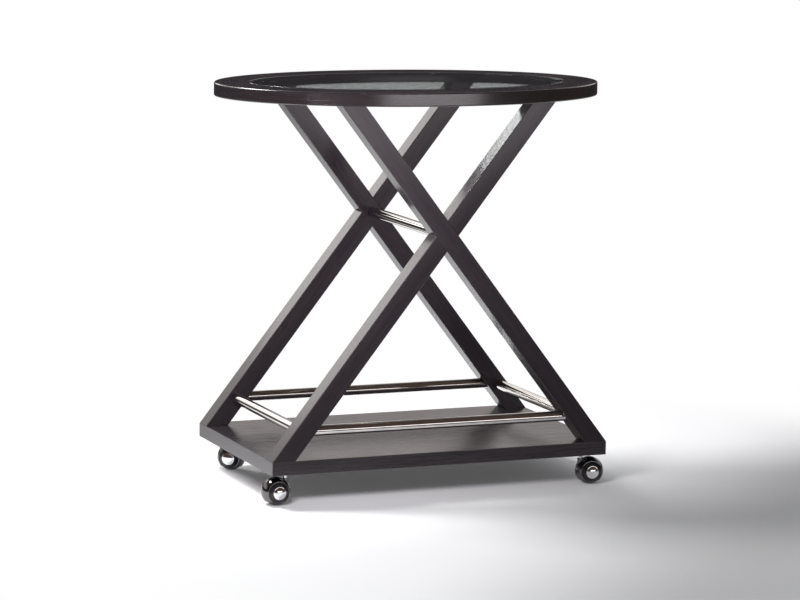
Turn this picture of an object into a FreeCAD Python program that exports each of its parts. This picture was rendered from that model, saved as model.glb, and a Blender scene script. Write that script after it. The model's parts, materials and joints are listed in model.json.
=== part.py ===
import FreeCAD, Part
import math
import os

# Room service table: an oval wood rim with a glass panel let in flush, on two
# crossed frames of square bars, over a solid wood shelf with tube rails and
# four hooded ball casters. Millimetres. The origin is on the floor under the
# middle of the table, X runs along its length, Y towards the back and Z up.

# ---- Driving dimensions ----

table_height = 762.0

# Shelf
shelf_length = 680.0
shelf_depth = 400.0
shelf_thickness = 26.0
shelf_arris = 0.8

# Oval top
top_end_overhang = 40.0         # past the shelf's ends
top_side_overhang = 45.0        # past the shelf's long sides
rim_thickness = 25.0
rim_face_width = 66.0           # wood seen around the glass
rim_edge_radius = 2.5
ledge_width = 34.0              # step that the glass lies over
glass_thickness = 10.0
glass_side_gap = 1.0
glass_arris = 0.8
pad_count = 8
pad_radius = 5.0
pad_thickness = 1.0

# Crossed frames
bar_width = 36.0
bar_depth = 38.0
head_half_spread = 214.0        # outer faces of the bars under the rim
lap_clearance = 0.1

# Tubes
rail_diameter = 20.0
rail_wall = 1.5
rail_height = 51.0              # axis above the shelf
cross_rail_seat = 12.0          # into the slanting bars, at the tube's axis
side_rail_seat = 8.0
stretcher_diameter = 20.0
stretcher_wall = 1.5
stretcher_seat = 10.0
tube_fit = 0.15
tube_end_gap = 0.2

# Hidden fasteners
fastener_fit = 0.05
plug_length = 20.0
stud_in_plug = 18.0
stretcher_stud_radius = 4.0
stretcher_stud_cover = 8.0      # wood left in front of the stud
side_stud_radius = 3.0
side_stud_cover = 12.0
head_stud_radius = 3.0
head_stud_in_bar = 16.0
head_stud_in_rim = 14.0
head_stud_spacing = 18.0
screw_radius = 2.5
screw_head_radius = 5.0
screw_head_height = 3.0
screw_recess = 0.5
screw_in_bar = 14.0
screw_side_setback = 10.0       # from the frame's outer face
screw_outer_offset = 4.0        # from the foot's middle
screw_inner_offset = 14.0

# Ball casters
caster_height = 60.0
caster_end_inset = 37.0
caster_side_inset = 33.0
wheel_diameter = 50.0           # where it rolls, at its inner face
trail = 17.5                    # wheels' middle behind the stem
web_thickness = 11.0            # hood's web between the wheels
cap_radius = 12.0
cap_spigot_radius = 9.0
cap_spigot_length = 4.0
cap_spigot_wall = 1.8
cap_pocket_depth = 7.0
hood_clearance = 0.7
hood_wall = 1.0
hood_half_width = 17.4          # from the wheels' middle to each mouth
hood_floor_gap = 8.0
collar_radius = 6.5
collar_top_gap = 11.0           # below the shelf
flange_radius = 9.0
flange_thickness = 2.0
socket_radius = 5.5
socket_depth = 22.0
stem_radius = 4.0
stem_in_socket = 20.0
stem_in_hood = 15.0
stem_tip_gap = 0.3
stem_tip_chamfer = 1.0
running_fit = 0.05
axle_radius = 3.0
axle_end_margin = 2.0           # axle past the clip
clip_radius = 6.0
clip_thickness = 1.2
wheel_end_gap = 0.3

# Heading of each caster at rest: how far it is turned about its stem from
# trailing to the left (-X), towards the front (-Y), in degrees.
caster_headings = {"fl": -1.0, "fr": 171.0, "bl": 143.0, "br": 160.0}

# ---- Derived levels and places ----

shelf_bottom_z = caster_height
shelf_top_z = shelf_bottom_z + shelf_thickness
rim_bottom_z = table_height - rim_thickness
rebate_z = table_height - glass_thickness - pad_thickness
rail_z = shelf_top_z + rail_height

top_half_length = shelf_length / 2 + top_end_overhang
top_half_depth = shelf_depth / 2 + top_side_overhang
opening_inset = rim_face_width + ledge_width

foot_half_spread = shelf_length / 2
frame_outer_y = shelf_depth / 2
frame_inner_y = frame_outer_y - bar_depth
frame_mid_y = frame_outer_y - bar_depth / 2

# A bar's outer face runs from one foot to the far head's inner edge, so its
# lean solves spread * cos(lean) - rise * sin(lean) = bar_width.
bar_rise = rim_bottom_z - shelf_top_z
total_spread = foot_half_spread + head_half_spread
bar_lean = math.acos(bar_width / math.hypot(total_spread, bar_rise)) - math.atan2(bar_rise, total_spread)
bar_level_width = bar_width / math.cos(bar_lean)
foot_mid_x = foot_half_spread - bar_level_width / 2
head_mid_x = head_half_spread - bar_level_width / 2
crossing_z = shelf_top_z + foot_mid_x / math.tan(bar_lean)

X_AXIS = FreeCAD.Vector(1, 0, 0)
Y_AXIS = FreeCAD.Vector(0, 1, 0)
Z_AXIS = FreeCAD.Vector(0, 0, 1)


def point(x, y, z):
    """Return a vector from three coordinates."""
    return FreeCAD.Vector(x, y, z)


def bar_mid_x(z):
    """Return the middle of a right-footed bar at height z."""
    return foot_mid_x - (z - shelf_top_z) * math.tan(bar_lean)


# ---- Plain forms ----

def rod(start, axis, radius, length):
    """Return a solid cylinder from start along axis."""
    return Part.makeCylinder(radius, length, start, axis)


def centred_rod(middle, axis, radius, length):
    """Return a solid cylinder with its middle at a point."""
    return rod(middle - axis * (length / 2), axis, radius, length)


def oval_prism(half_length, half_depth, bottom, top):
    """Return an upright oval prism centred on the Z axis."""
    major = max(half_length, half_depth)
    minor = min(half_length, half_depth)
    wire = Part.Wire(Part.Ellipse(point(0, 0, bottom), major, minor).toShape())
    if half_depth > half_length:
        wire.rotate(point(0, 0, bottom), Z_AXIS, 90)
    return Part.Face(wire).extrude(Z_AXIS * (top - bottom))


def inset_oval(inset, bottom, top):
    """Return an upright oval prism that lies inside the top's outline."""
    return oval_prism(top_half_length - inset, top_half_depth - inset, bottom, top)


def edges_at_height(shape, z):
    """Return the level edges of a shape that lie at height z."""
    return [e for e in shape.Edges if abs(e.BoundBox.ZMin - z) < 1e-4 and abs(e.BoundBox.ZMax - z) < 1e-4]


# ---- Top ----

def make_top_ring():
    """Return the oval wood rim with the rebate for the glass."""
    blank = inset_oval(0, rim_bottom_z, table_height)
    rims = edges_at_height(blank, rim_bottom_z) + edges_at_height(blank, table_height)
    blank = blank.makeFillet(rim_edge_radius, rims)
    ring = blank.cut(inset_oval(rim_face_width, rebate_z, table_height))
    ring = ring.cut(inset_oval(opening_inset, rim_bottom_z, table_height))
    for side_x in (-1, 1):
        for place in head_stud_places(side_x):
            bore = rod(place, Z_AXIS, head_stud_radius + fastener_fit, head_stud_in_rim + fastener_fit)
            ring = ring.cut(bore)
    return ring


def make_glass_panel():
    """Return the oval glass panel, flush with the rim."""
    panel = inset_oval(rim_face_width + glass_side_gap, table_height - glass_thickness, table_height)
    rims = edges_at_height(panel, table_height) + edges_at_height(panel, table_height - glass_thickness)
    return panel.makeChamfer(glass_arris, rims)


def make_glass_pads():
    """Return the clear pads between the ledge and the glass."""
    inset = rim_face_width + ledge_width / 2
    half_length = top_half_length - inset
    half_depth = top_half_depth - inset
    pads = []
    for i in range(pad_count):
        turn = 2 * math.pi * (i + 0.5) / pad_count
        place = point(half_length * math.cos(turn), half_depth * math.sin(turn), rebate_z)
        pads.append(rod(place, Z_AXIS, pad_radius, pad_thickness))
    return Part.makeCompound(pads)


# ---- Crossed frames ----

def bar_prism(foot_side, y_from, y_to, margin=0.0):
    """Return a slanting bar between two depths.

    foot_side is 1 for a foot at the right and -1 for one at the left. The
    margin widens the bar about its middle line.
    """
    half = (bar_width / 2 + margin) / math.cos(bar_lean)
    outline = [
        point(foot_side * (foot_mid_x + half), y_from, shelf_top_z),
        point(-foot_side * (head_mid_x - half), y_from, rim_bottom_z),
        point(-foot_side * (head_mid_x + half), y_from, rim_bottom_z),
        point(foot_side * (foot_mid_x - half), y_from, shelf_top_z),
    ]
    face = Part.Face(Part.makePolygon(outline + outline[:1]))
    return face.extrude(Y_AXIS * (y_to - y_from))


def head_stud_places(head_side):
    """Return where the studs of the heads on one side cross the rim's underside."""
    places = []
    for frame_side in (-1, 1):
        for step in (-0.5, 0.5):
            y = frame_side * frame_mid_y + step * head_stud_spacing
            places.append(point(head_side * head_mid_x, y, rim_bottom_z))
    return places


def foot_screw_places(foot_side):
    """Return where the screws of the feet on one side cross the shelf's underside."""
    places = []
    for frame_side in (-1, 1):
        for offset in (screw_outer_offset, -screw_inner_offset):
            y = frame_side * (frame_outer_y - screw_side_setback)
            places.append(point(foot_side * (foot_mid_x + offset), y, shelf_bottom_z))
    return places


def frame_bores():
    """Return the tube sockets and stud holes of all the bars."""
    tube_radius = rail_diameter / 2 + tube_fit
    bores = [
        centred_rod(point(0, 0, crossing_z), Y_AXIS, stretcher_diameter / 2 + tube_fit,
                    2 * (frame_inner_y + stretcher_seat)),
        centred_rod(point(0, 0, crossing_z), Y_AXIS, stretcher_stud_radius + fastener_fit,
                    2 * (frame_outer_y - stretcher_stud_cover)),
    ]
    for side in (-1, 1):
        rail_x = side * bar_mid_x(rail_z)
        bores.append(centred_rod(point(0, side * frame_mid_y, rail_z), X_AXIS, tube_radius,
                                 2 * cross_rail_half_length() + 2 * tube_end_gap))
        bores.append(centred_rod(point(rail_x, 0, rail_z), Y_AXIS, tube_radius,
                                 2 * (frame_inner_y + side_rail_seat)))
        bores.append(centred_rod(point(rail_x, 0, rail_z), Y_AXIS, side_stud_radius + fastener_fit,
                                 2 * (frame_outer_y - side_stud_cover)))
    return bores


def make_bar(frame_side, foot_side):
    """Return one bar with its half lap, tube sockets and fastener holes.

    In the front frame the right-footed bar runs through at the front. The
    back frame is the same frame turned about Z, so that holds from outside.
    """
    outer = frame_side * frame_outer_y
    inner = frame_side * frame_inner_y
    middle = frame_side * frame_mid_y
    runs_through_outside = foot_side == -frame_side
    half_gap = frame_side * lap_clearance / 2
    bar = bar_prism(foot_side, inner, outer)
    if runs_through_outside:
        lap = bar_prism(-foot_side, inner, middle + half_gap, lap_clearance)
    else:
        lap = bar_prism(-foot_side, middle - half_gap, outer, lap_clearance)
    bar = bar.cut(lap)
    for bore in frame_bores():
        bar = bar.cut(bore)
    for place in head_stud_places(-foot_side):
        bottom = place - Z_AXIS * (head_stud_in_bar + fastener_fit)
        bar = bar.cut(rod(bottom, Z_AXIS, head_stud_radius + fastener_fit, head_stud_in_bar + fastener_fit))
    for place in foot_screw_places(foot_side):
        bottom = point(place.x, place.y, shelf_top_z)
        bar = bar.cut(rod(bottom, Z_AXIS, screw_radius + fastener_fit, screw_in_bar + fastener_fit))
    return bar


def make_head_studs():
    """Return the studs that hold the rim on the bars."""
    length = head_stud_in_bar + head_stud_in_rim
    studs = []
    for side in (-1, 1):
        for place in head_stud_places(side):
            studs.append(rod(place - Z_AXIS * head_stud_in_bar, Z_AXIS, head_stud_radius, length))
    return Part.makeCompound(studs)


def foot_screw(place, fit):
    """Return one countersunk screw, or its hole where fit is not zero."""
    seat = place + Z_AXIS * screw_recess
    shank = rod(seat, Z_AXIS, screw_radius + fit, shelf_thickness + screw_in_bar - screw_recess)
    cone = Part.makeCone(screw_head_radius + fit, screw_radius + fit, screw_head_height, seat, Z_AXIS)
    screw = shank.fuse(cone)
    if fit:
        screw = screw.fuse(rod(place, Z_AXIS, screw_head_radius + fit, screw_recess))
    return screw


def make_foot_screws():
    """Return the screws that hold the feet on the shelf."""
    screws = []
    for side in (-1, 1):
        for place in foot_screw_places(side):
            screws.append(foot_screw(place, 0.0))
    return Part.makeCompound(screws)


# ---- Tubes ----

def tube(middle, axis, diameter, wall, length):
    """Return a round tube with its middle at a point."""
    outside = centred_rod(middle, axis, diameter / 2, length)
    return outside.cut(centred_rod(middle, axis, diameter / 2 - wall, length))


def cross_rail_half_length():
    """Return half the length of a rail between the bars of one frame."""
    inner_face_x = bar_mid_x(rail_z) - bar_level_width / 2
    return inner_face_x + cross_rail_seat - tube_end_gap


def side_tube_half_length(seat):
    """Return half the length of a tube between the two frames."""
    return frame_inner_y + seat - tube_end_gap


def make_cross_rail(frame_side):
    """Return the rail between the bars of one frame."""
    middle = point(0, frame_side * frame_mid_y, rail_z)
    return tube(middle, X_AXIS, rail_diameter, rail_wall, 2 * cross_rail_half_length())


def make_side_rail(side):
    """Return the rail between the two frames on one side."""
    middle = point(side * bar_mid_x(rail_z), 0, rail_z)
    return tube(middle, Y_AXIS, rail_diameter, rail_wall, 2 * side_tube_half_length(side_rail_seat))


def make_cross_stretcher():
    """Return the tube between the two crossings."""
    length = 2 * side_tube_half_length(stretcher_seat)
    return tube(point(0, 0, crossing_z), Y_AXIS, stretcher_diameter, stretcher_wall, length)


def tube_end_plugs(x, z, tube_half_length, bore_radius, stud_radius):
    """Return the threaded plugs in both ends of a tube along Y."""
    plugs = []
    for end in (-1, 1):
        outer_end = point(x, end * tube_half_length, z)
        inward = Y_AXIS * -end
        plug = rod(outer_end, inward, bore_radius - fastener_fit, plug_length)
        plugs.append(plug.cut(rod(outer_end, inward, stud_radius + fastener_fit, plug_length)))
    return plugs


def tube_end_studs(x, z, tube_half_length, stud_radius, cover):
    """Return the studs from the plugs of a tube along Y into the bars."""
    studs = []
    for end in (-1, 1):
        outer_end = point(x, end * (frame_outer_y - cover), z)
        length = frame_outer_y - cover - tube_half_length + stud_in_plug
        studs.append(rod(outer_end, Y_AXIS * -end, stud_radius, length))
    return studs


def make_stretcher_plugs():
    """Return the plugs in the ends of the tube between the crossings."""
    bore = stretcher_diameter / 2 - stretcher_wall
    half_length = side_tube_half_length(stretcher_seat)
    return Part.makeCompound(tube_end_plugs(0, crossing_z, half_length, bore, stretcher_stud_radius))


def make_stretcher_studs():
    """Return the studs that pin the laps to the tube between the crossings."""
    half_length = side_tube_half_length(stretcher_seat)
    return Part.makeCompound(
        tube_end_studs(0, crossing_z, half_length, stretcher_stud_radius, stretcher_stud_cover))


def make_side_rail_plugs():
    """Return the plugs in the ends of the side rails."""
    bore = rail_diameter / 2 - rail_wall
    half_length = side_tube_half_length(side_rail_seat)
    plugs = []
    for side in (-1, 1):
        plugs += tube_end_plugs(side * bar_mid_x(rail_z), rail_z, half_length, bore, side_stud_radius)
    return Part.makeCompound(plugs)


def make_side_rail_studs():
    """Return the studs that hold the side rails on the bars."""
    half_length = side_tube_half_length(side_rail_seat)
    studs = []
    for side in (-1, 1):
        x = side * bar_mid_x(rail_z)
        studs += tube_end_studs(x, rail_z, half_length, side_stud_radius, side_stud_cover)
    return Part.makeCompound(studs)


# ---- Shelf ----

def make_shelf_panel():
    """Return the shelf with its caster bores and screw holes."""
    corner = point(-shelf_length / 2, -shelf_depth / 2, shelf_bottom_z)
    panel = Part.makeBox(shelf_length, shelf_depth, shelf_thickness, corner)
    panel = panel.makeChamfer(shelf_arris, panel.Edges)
    for place in caster_places().values():
        panel = panel.cut(rod(place, Z_AXIS, socket_radius + fastener_fit, socket_depth + fastener_fit))
    for side in (-1, 1):
        for place in foot_screw_places(side):
            panel = panel.cut(foot_screw(place, fastener_fit))
    return panel


# ---- Casters ----
# Each piece is made about its swivel axis, with two wheels behind it on -X and
# their axle along Y, then turned to its heading and set under its corner.
# Wheel 1 is at -Y of the hood's web and wheel 2 at +Y.

wheel_radius = wheel_diameter / 2
web_face_y = web_thickness / 2
wheel_inner_y = web_face_y + wheel_end_gap
ball_radius = math.hypot(wheel_radius, wheel_inner_y)
hood_inner_radius = ball_radius + hood_clearance
hood_outer_radius = hood_inner_radius + hood_wall
collar_top_z = shelf_bottom_z - collar_top_gap
stem_bottom_z = collar_top_z - stem_in_hood
cap_seat_y = math.sqrt(ball_radius ** 2 - cap_radius ** 2)
pocket_floor_y = cap_seat_y - cap_pocket_depth
clip_inner_y = pocket_floor_y + wheel_end_gap
clip_outer_y = clip_inner_y + clip_thickness
axle_end_y = clip_outer_y + axle_end_margin
wheel_middle = point(-trail, 0, wheel_radius)


def caster_places():
    """Return the swivel axis of each caster at the shelf's underside."""
    x = shelf_length / 2 - caster_end_inset
    y = shelf_depth / 2 - caster_side_inset
    return {
        "fl": point(-x, -y, shelf_bottom_z),
        "fr": point(x, -y, shelf_bottom_z),
        "bl": point(-x, y, shelf_bottom_z),
        "br": point(x, y, shelf_bottom_z),
    }


def axle_rod(side, y_from, y_to, radius):
    """Return a cylinder on the axle's line, on one side of the web."""
    return rod(wheel_middle + Y_AXIS * (side * y_from), Y_AXIS * side, radius, y_to - y_from)


def across_axle(half_width, radius):
    """Return a cylinder on the axle's line that spans both sides."""
    return centred_rod(wheel_middle, Y_AXIS, radius, 2 * half_width)


def ball(radius):
    """Return a ball about the wheels' middle."""
    return Part.makeSphere(radius, wheel_middle)


def make_wheel(side):
    """Return one wheel, half of a ball, with its bore and cap pocket."""
    wheel = ball(ball_radius).common(axle_rod(side, wheel_inner_y, cap_seat_y, wheel_diameter))
    wheel = wheel.cut(axle_rod(side, pocket_floor_y, cap_seat_y, cap_spigot_radius + fastener_fit))
    return wheel.cut(axle_rod(side, wheel_inner_y, cap_seat_y, axle_radius + running_fit))


def make_cap(side):
    """Return one domed hub cap with its spigot."""
    dome = ball(ball_radius).common(axle_rod(side, cap_seat_y, wheel_diameter, wheel_diameter))
    spigot_end_y = cap_seat_y - cap_spigot_length
    spigot = axle_rod(side, spigot_end_y, cap_seat_y, cap_spigot_radius)
    spigot = spigot.cut(axle_rod(side, spigot_end_y, cap_seat_y, cap_spigot_radius - cap_spigot_wall))
    return dome.fuse(spigot)


def make_axle():
    """Return the axle of both wheels, pressed into the web."""
    return across_axle(axle_end_y, axle_radius)


def make_clips():
    """Return the push-on clips that keep the wheels on the axle."""
    clips = []
    for side in (-1, 1):
        clip = axle_rod(side, clip_inner_y, clip_outer_y, clip_radius)
        clips.append(clip.cut(axle_rod(side, clip_inner_y, clip_outer_y, axle_radius + fastener_fit)))
    return Part.makeCompound(clips)


def make_hood():
    """Return the round hood with the web between the wheels and the stem's collar."""
    shell = ball(hood_outer_radius).common(across_axle(hood_half_width, 2 * hood_outer_radius))
    collar_bottom = point(0, 0, wheel_radius)
    collar = rod(collar_bottom, Z_AXIS, collar_radius, collar_top_z - wheel_radius)
    shell = shell.fuse(collar).cut(ball(hood_inner_radius))
    web = ball(hood_inner_radius + hood_wall / 2).common(across_axle(web_face_y, hood_outer_radius))
    hood = shell.fuse(web)
    floor_room = rod(wheel_middle - Z_AXIS * wheel_diameter, Z_AXIS, wheel_diameter,
                     wheel_diameter - wheel_radius + hood_floor_gap)
    hood = hood.cut(floor_room)
    hood = hood.cut(across_axle(web_thickness, axle_radius + fastener_fit))
    return hood.cut(rod(point(0, 0, stem_bottom_z), Z_AXIS, stem_radius + fastener_fit, table_height))


def make_stem():
    """Return the stem that turns in the socket."""
    top_z = shelf_bottom_z + stem_in_socket
    stem = rod(point(0, 0, stem_bottom_z), Z_AXIS, stem_radius, top_z - stem_bottom_z)
    return stem.makeChamfer(stem_tip_chamfer, edges_at_height(stem, top_z))


def make_socket():
    """Return the socket that is pressed into the shelf, with its flange."""
    sleeve = rod(point(0, 0, shelf_bottom_z), Z_AXIS, socket_radius, socket_depth)
    flange = rod(point(0, 0, shelf_bottom_z - flange_thickness), Z_AXIS, flange_radius, flange_thickness)
    bore_bottom = point(0, 0, shelf_bottom_z - flange_thickness)
    bore_length = flange_thickness + stem_in_socket + stem_tip_gap
    return sleeve.fuse(flange).cut(rod(bore_bottom, Z_AXIS, stem_radius + running_fit, bore_length))


def make_caster():
    """Return the pieces of one caster by name."""
    return {
        "socket": make_socket(),
        "stem": make_stem(),
        "hood": make_hood(),
        "axle": make_axle(),
        "clips": make_clips(),
        "wheel_1": make_wheel(-1),
        "wheel_2": make_wheel(1),
        "cap_1": make_cap(-1),
        "cap_2": make_cap(1),
    }


def make_casters():
    """Return the pieces of the four casters by name."""
    pieces = {}
    for corner, place in caster_places().items():
        for name, piece in make_caster().items():
            piece.rotate(point(0, 0, 0), Z_AXIS, caster_headings[corner])
            piece.translate(point(place.x, place.y, 0))
            pieces[f"caster_{corner}_{name}"] = piece
    return pieces


# ---- Whole table ----

def make_table():
    """Return every piece of the table by name."""
    pieces = {
        "top_ring": make_top_ring(),
        "glass_panel": make_glass_panel(),
        "glass_pads": make_glass_pads(),
        "front_bar_left_foot": make_bar(-1, -1),
        "front_bar_right_foot": make_bar(-1, 1),
        "back_bar_left_foot": make_bar(1, -1),
        "back_bar_right_foot": make_bar(1, 1),
        "head_studs": make_head_studs(),
        "foot_screws": make_foot_screws(),
        "shelf_panel": make_shelf_panel(),
        "cross_stretcher": make_cross_stretcher(),
        "stretcher_plugs": make_stretcher_plugs(),
        "stretcher_studs": make_stretcher_studs(),
        "front_rail": make_cross_rail(-1),
        "back_rail": make_cross_rail(1),
        "left_rail": make_side_rail(-1),
        "right_rail": make_side_rail(1),
        "side_rail_plugs": make_side_rail_plugs(),
        "side_rail_studs": make_side_rail_studs(),
    }
    pieces.update(make_casters())
    return pieces


def main():
    """Write one STEP file per piece."""
    os.makedirs("parts", exist_ok=True)
    for name, shape in make_table().items():
        shape.exportStep(f"parts/{name}.step")
        print(f"{name}: {len(shape.Solids)} solid(s), {shape.Volume:.1f} mm3, valid {shape.isValid()}")


main()
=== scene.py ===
"""Dresses a room service table and lights it for its picture.

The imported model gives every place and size. Metres throughout, with X along
the table, Y towards its back frame and Z up from the floor.
"""

from __future__ import annotations

import json
import logging
import math
from collections.abc import Sequence
from dataclasses import dataclass, field
from enum import Enum

import bpy
from bpy.types import Material, Mesh, Node, NodeSocket, NodeTree, Object
from mathutils import Matrix, Vector

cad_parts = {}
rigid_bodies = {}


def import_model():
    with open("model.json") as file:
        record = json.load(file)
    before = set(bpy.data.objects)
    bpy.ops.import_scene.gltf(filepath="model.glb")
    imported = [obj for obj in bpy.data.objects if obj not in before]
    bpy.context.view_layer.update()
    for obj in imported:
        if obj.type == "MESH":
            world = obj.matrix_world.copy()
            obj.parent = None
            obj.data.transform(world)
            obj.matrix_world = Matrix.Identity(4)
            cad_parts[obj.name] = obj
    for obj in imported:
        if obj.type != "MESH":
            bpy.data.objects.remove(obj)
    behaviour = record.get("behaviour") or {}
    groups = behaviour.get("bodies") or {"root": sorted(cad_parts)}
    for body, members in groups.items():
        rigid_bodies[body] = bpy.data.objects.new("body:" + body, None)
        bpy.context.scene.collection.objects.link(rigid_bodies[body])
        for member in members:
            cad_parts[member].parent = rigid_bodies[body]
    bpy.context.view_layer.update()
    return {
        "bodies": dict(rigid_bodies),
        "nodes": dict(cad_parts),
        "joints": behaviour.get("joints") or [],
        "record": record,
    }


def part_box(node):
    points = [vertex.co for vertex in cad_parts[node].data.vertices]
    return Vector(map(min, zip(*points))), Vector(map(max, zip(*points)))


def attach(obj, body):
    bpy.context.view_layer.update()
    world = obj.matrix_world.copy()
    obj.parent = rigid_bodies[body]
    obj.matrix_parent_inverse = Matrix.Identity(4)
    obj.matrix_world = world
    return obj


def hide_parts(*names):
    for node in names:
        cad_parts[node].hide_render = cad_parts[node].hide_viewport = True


LOG = logging.getLogger("service_table")
MM = 0.001
WELD = 0.002 * MM
UP = Vector((0.0, 0.0, 1.0))
ORIGIN = (0.0, 0.0)
CORNERS = ("fl", "fr", "bl", "br")
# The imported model's nodes and joints, which main() reads first.
FRAME: dict = {}

# A face whose normal's Z is above this counts as level.
LEVEL = 0.9
# The range that most of a noise keeps to.
NOISE_LOW, NOISE_HIGH = 0.3, 0.7

Colour = tuple[float, float, float]
Place = tuple[float, float, float]
Point = tuple[float, float]
# A range of a value, and the range that it is mapped to.
Span = tuple[float, float, float, float]

WHITE: Colour = (1.0, 1.0, 1.0)


# ---------------------------------------------------------------- workbench

class Combine(Enum):
    """How two solids are combined."""

    JOIN = "UNION"
    CUT = "DIFFERENCE"


class Workbench:
    """Models pieces with Blender's own operators, one at a time."""

    BEVEL_FACES = 3
    BEVEL_ANGLE = math.radians(40.0)
    FACE_WEIGHT = 50
    OVAL_SIDES = 288
    BALL_SIDES = 96

    def start(self) -> None:
        """Leave edit mode and deselect everything."""
        if bpy.context.object is not None and bpy.context.object.mode != "OBJECT":
            bpy.ops.object.mode_set(mode="OBJECT")
        bpy.ops.object.select_all(action="DESELECT")

    def take(self, piece: Object) -> None:
        """Make a piece the only selected and active one.

        Args:
            piece: The piece.
        """
        self.start()
        piece.select_set(True)
        bpy.context.view_layer.objects.active = piece

    def open(self, piece: Object) -> None:
        """Open a piece's mesh with all of it selected.

        Args:
            piece: The piece.
        """
        self.take(piece)
        bpy.ops.object.mode_set(mode="EDIT")
        bpy.ops.mesh.select_all(action="SELECT")

    def close(self) -> None:
        """Weld the open mesh, turn its faces outwards and leave edit mode."""
        bpy.ops.mesh.select_all(action="SELECT")
        bpy.ops.mesh.remove_doubles(threshold=WELD)
        bpy.ops.mesh.normals_make_consistent(inside=False)
        bpy.ops.object.mode_set(mode="OBJECT")

    def settle(self) -> None:
        """Put the selected piece's place, turn and scale into its mesh."""
        bpy.ops.object.transform_apply(location=True, rotation=True, scale=True)

    def place(self, piece: Object, matrix: Matrix) -> None:
        """Move a piece and put the move into its mesh.

        Args:
            piece: The piece.
            matrix: The move.
        """
        self.take(piece)
        piece.matrix_world = matrix @ piece.matrix_world
        self.settle()

    def copy(self, piece: Object, title: str, matrix: Matrix) -> Object:
        """Copy a piece with a mesh of its own, and move the copy.

        Args:
            piece: The piece to copy.
            title: The copy's name.
            matrix: The move.

        Returns:
            The copy.
        """
        self.take(piece)
        bpy.ops.object.duplicate(linked=False)
        twin = self.name(title)
        self.place(twin, matrix)
        return twin

    def scrap(self, piece: Object) -> None:
        """Remove a piece and its mesh.

        Args:
            piece: The piece.
        """
        spent = piece.data
        bpy.data.objects.remove(piece)
        bpy.data.meshes.remove(spent)

    def name(self, title: str) -> Object:
        """Name the piece that has just been added.

        Args:
            title: The piece's name.

        Returns:
            The piece.
        """
        piece = bpy.context.object
        piece.name = title
        piece.data.name = title
        return piece

    def block(self, title: str, low: Vector, high: Vector, lean: float = 0.0) -> Object:
        """Add a block between two corners.

        Args:
            title: The piece's name.
            low: Its lowest corner before it is leant.
            high: Its highest corner before it is leant.
            lean: Its turn about Y through its middle, in radians.

        Returns:
            The block.
        """
        self.start()
        bpy.ops.mesh.primitive_cube_add(
            size=1.0,
            location=(low + high) / 2,
            rotation=(0.0, lean, 0.0),
            scale=high - low,
        )
        piece = self.name(title)
        self.settle()
        return piece

    def rod(self, title: str, start: Vector, end: Vector, radius: float, sides: int = 96) -> Object:
        """Add a solid rod between two points.

        Args:
            title: The piece's name.
            start: The middle of one end.
            end: The middle of the other end.
            radius: Its radius.
            sides: How many faces go round it.

        Returns:
            The rod.
        """
        self.start()
        run = end - start
        turn = run.to_track_quat("Z", "Y").to_euler()
        bpy.ops.mesh.primitive_cylinder_add(
            vertices=sides, radius=radius, depth=run.length, location=(start + end) / 2, rotation=turn
        )
        piece = self.name(title)
        self.settle()
        return piece

    def ball(self, title: str, middle: Vector, radius: float) -> Object:
        """Add a ball about a point.

        Args:
            title: The piece's name.
            middle: The point.
            radius: Its radius.

        Returns:
            The ball.
        """
        self.start()
        bpy.ops.mesh.primitive_uv_sphere_add(
            segments=self.BALL_SIDES, ring_count=self.BALL_SIDES // 2, radius=radius, location=middle
        )
        piece = self.name(title)
        self.settle()
        return piece

    def lathe(self, title: str, outline: Sequence[Point], closed: bool, steps: int = 96) -> Object:
        """Spin an outline about Z, through the origin.

        Args:
            title: The piece's name.
            outline: Radius and height of each point in turn.
            closed: Whether the last point joins the first.
            steps: How many faces go round.

        Returns:
            The turned piece.
        """
        self.start()
        bpy.ops.mesh.primitive_plane_add(size=1 * MM, location=(0.0, 0.0, 0.0))
        piece = self.name(title)
        self.open(piece)
        bpy.ops.mesh.merge(type="CENTER")
        radius, height = outline[0]
        bpy.ops.transform.translate(value=(radius, 0.0, height))
        route = list(outline[1:])
        if closed:
            route.append(outline[0])
        for next_radius, next_height in route:
            step = (next_radius - radius, 0.0, next_height - height)
            bpy.ops.mesh.extrude_vertices_move(TRANSFORM_OT_translate={"value": step})
            radius, height = next_radius, next_height
        bpy.ops.mesh.select_all(action="SELECT")
        bpy.ops.mesh.spin(steps=steps, angle=math.tau, center=(0.0, 0.0, 0.0), axis=UP)
        self.close()
        return piece

    def oval(self, title: str, half: Vector, stations: Sequence[Point], solid: bool) -> Object:
        """Draw an oval outline through a row of insets and heights.

        Args:
            title: The piece's name.
            half: Half the oval's length and depth.
            stations: How far inside the outline, and how high, each loop lies.
            solid: True to close both ends with flat faces, False to join the
                last loop to the first.

        Returns:
            The oval piece.
        """
        self.start()
        inset, height = stations[0]
        bpy.ops.mesh.primitive_circle_add(
            vertices=self.OVAL_SIDES,
            radius=1.0,
            fill_type="NGON" if solid else "NOTHING",
            location=(0.0, 0.0, 0.0),
        )
        piece = self.name(title)
        self.open(piece)
        bpy.ops.transform.resize(value=(half.x - inset, half.y - inset, 1.0), center_override=(0.0, 0.0, 0.0))
        bpy.ops.transform.translate(value=(0.0, 0.0, height))
        extrude = bpy.ops.mesh.extrude_region_move if solid else bpy.ops.mesh.extrude_edges_move
        for next_inset, next_height in stations[1:]:
            extrude(TRANSFORM_OT_translate={"value": (0.0, 0.0, next_height - height)})
            growth = ((half.x - next_inset) / (half.x - inset), (half.y - next_inset) / (half.y - inset), 1.0)
            bpy.ops.transform.resize(value=growth, center_override=(0.0, 0.0, 0.0))
            inset, height = next_inset, next_height
        self.close()
        return piece

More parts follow.
